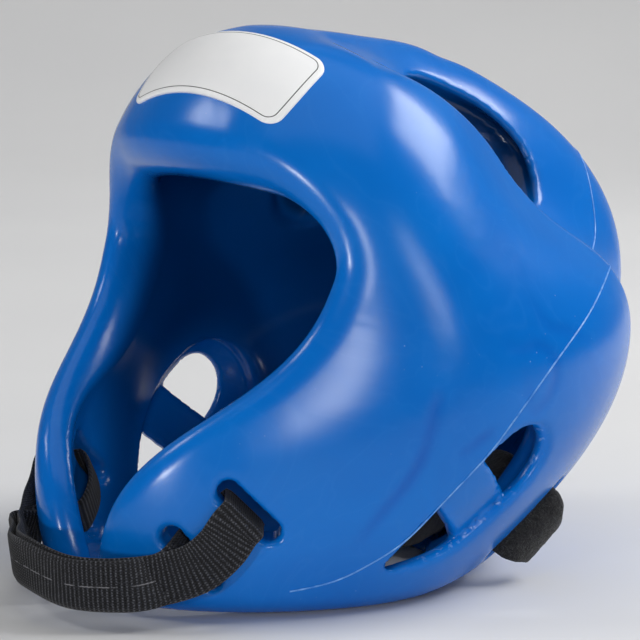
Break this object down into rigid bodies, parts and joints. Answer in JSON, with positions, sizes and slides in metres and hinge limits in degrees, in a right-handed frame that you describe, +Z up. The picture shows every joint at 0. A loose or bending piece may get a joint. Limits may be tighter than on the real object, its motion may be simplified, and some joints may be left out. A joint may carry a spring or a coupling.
{
  "type": "head guard",
  "caption": "Moulded foam head guard with an open face, barred ear openings, vents on top, a blank forehead label, a webbing chin strap and a soft nape strap.",
  "frame": {"origin": "middle of the bounding box, on the plane that the guard rests on", "axes": "+Z up, -Y the way the face opening looks, +X the wearer's left"},
  "size_m": [0.229, 0.3028, 0.2261],
  "materials": {
    "foam": "satin skin",
    "label": "satin",
    "webbing": "ribbed weave",
    "loop": "soft pile"
  },
  "bodies": {
    "root": {"shell": "foam", "front_label": "label", "chin_strap": "webbing", "nape_strap": "loop"}
  },
  "joints": []
}
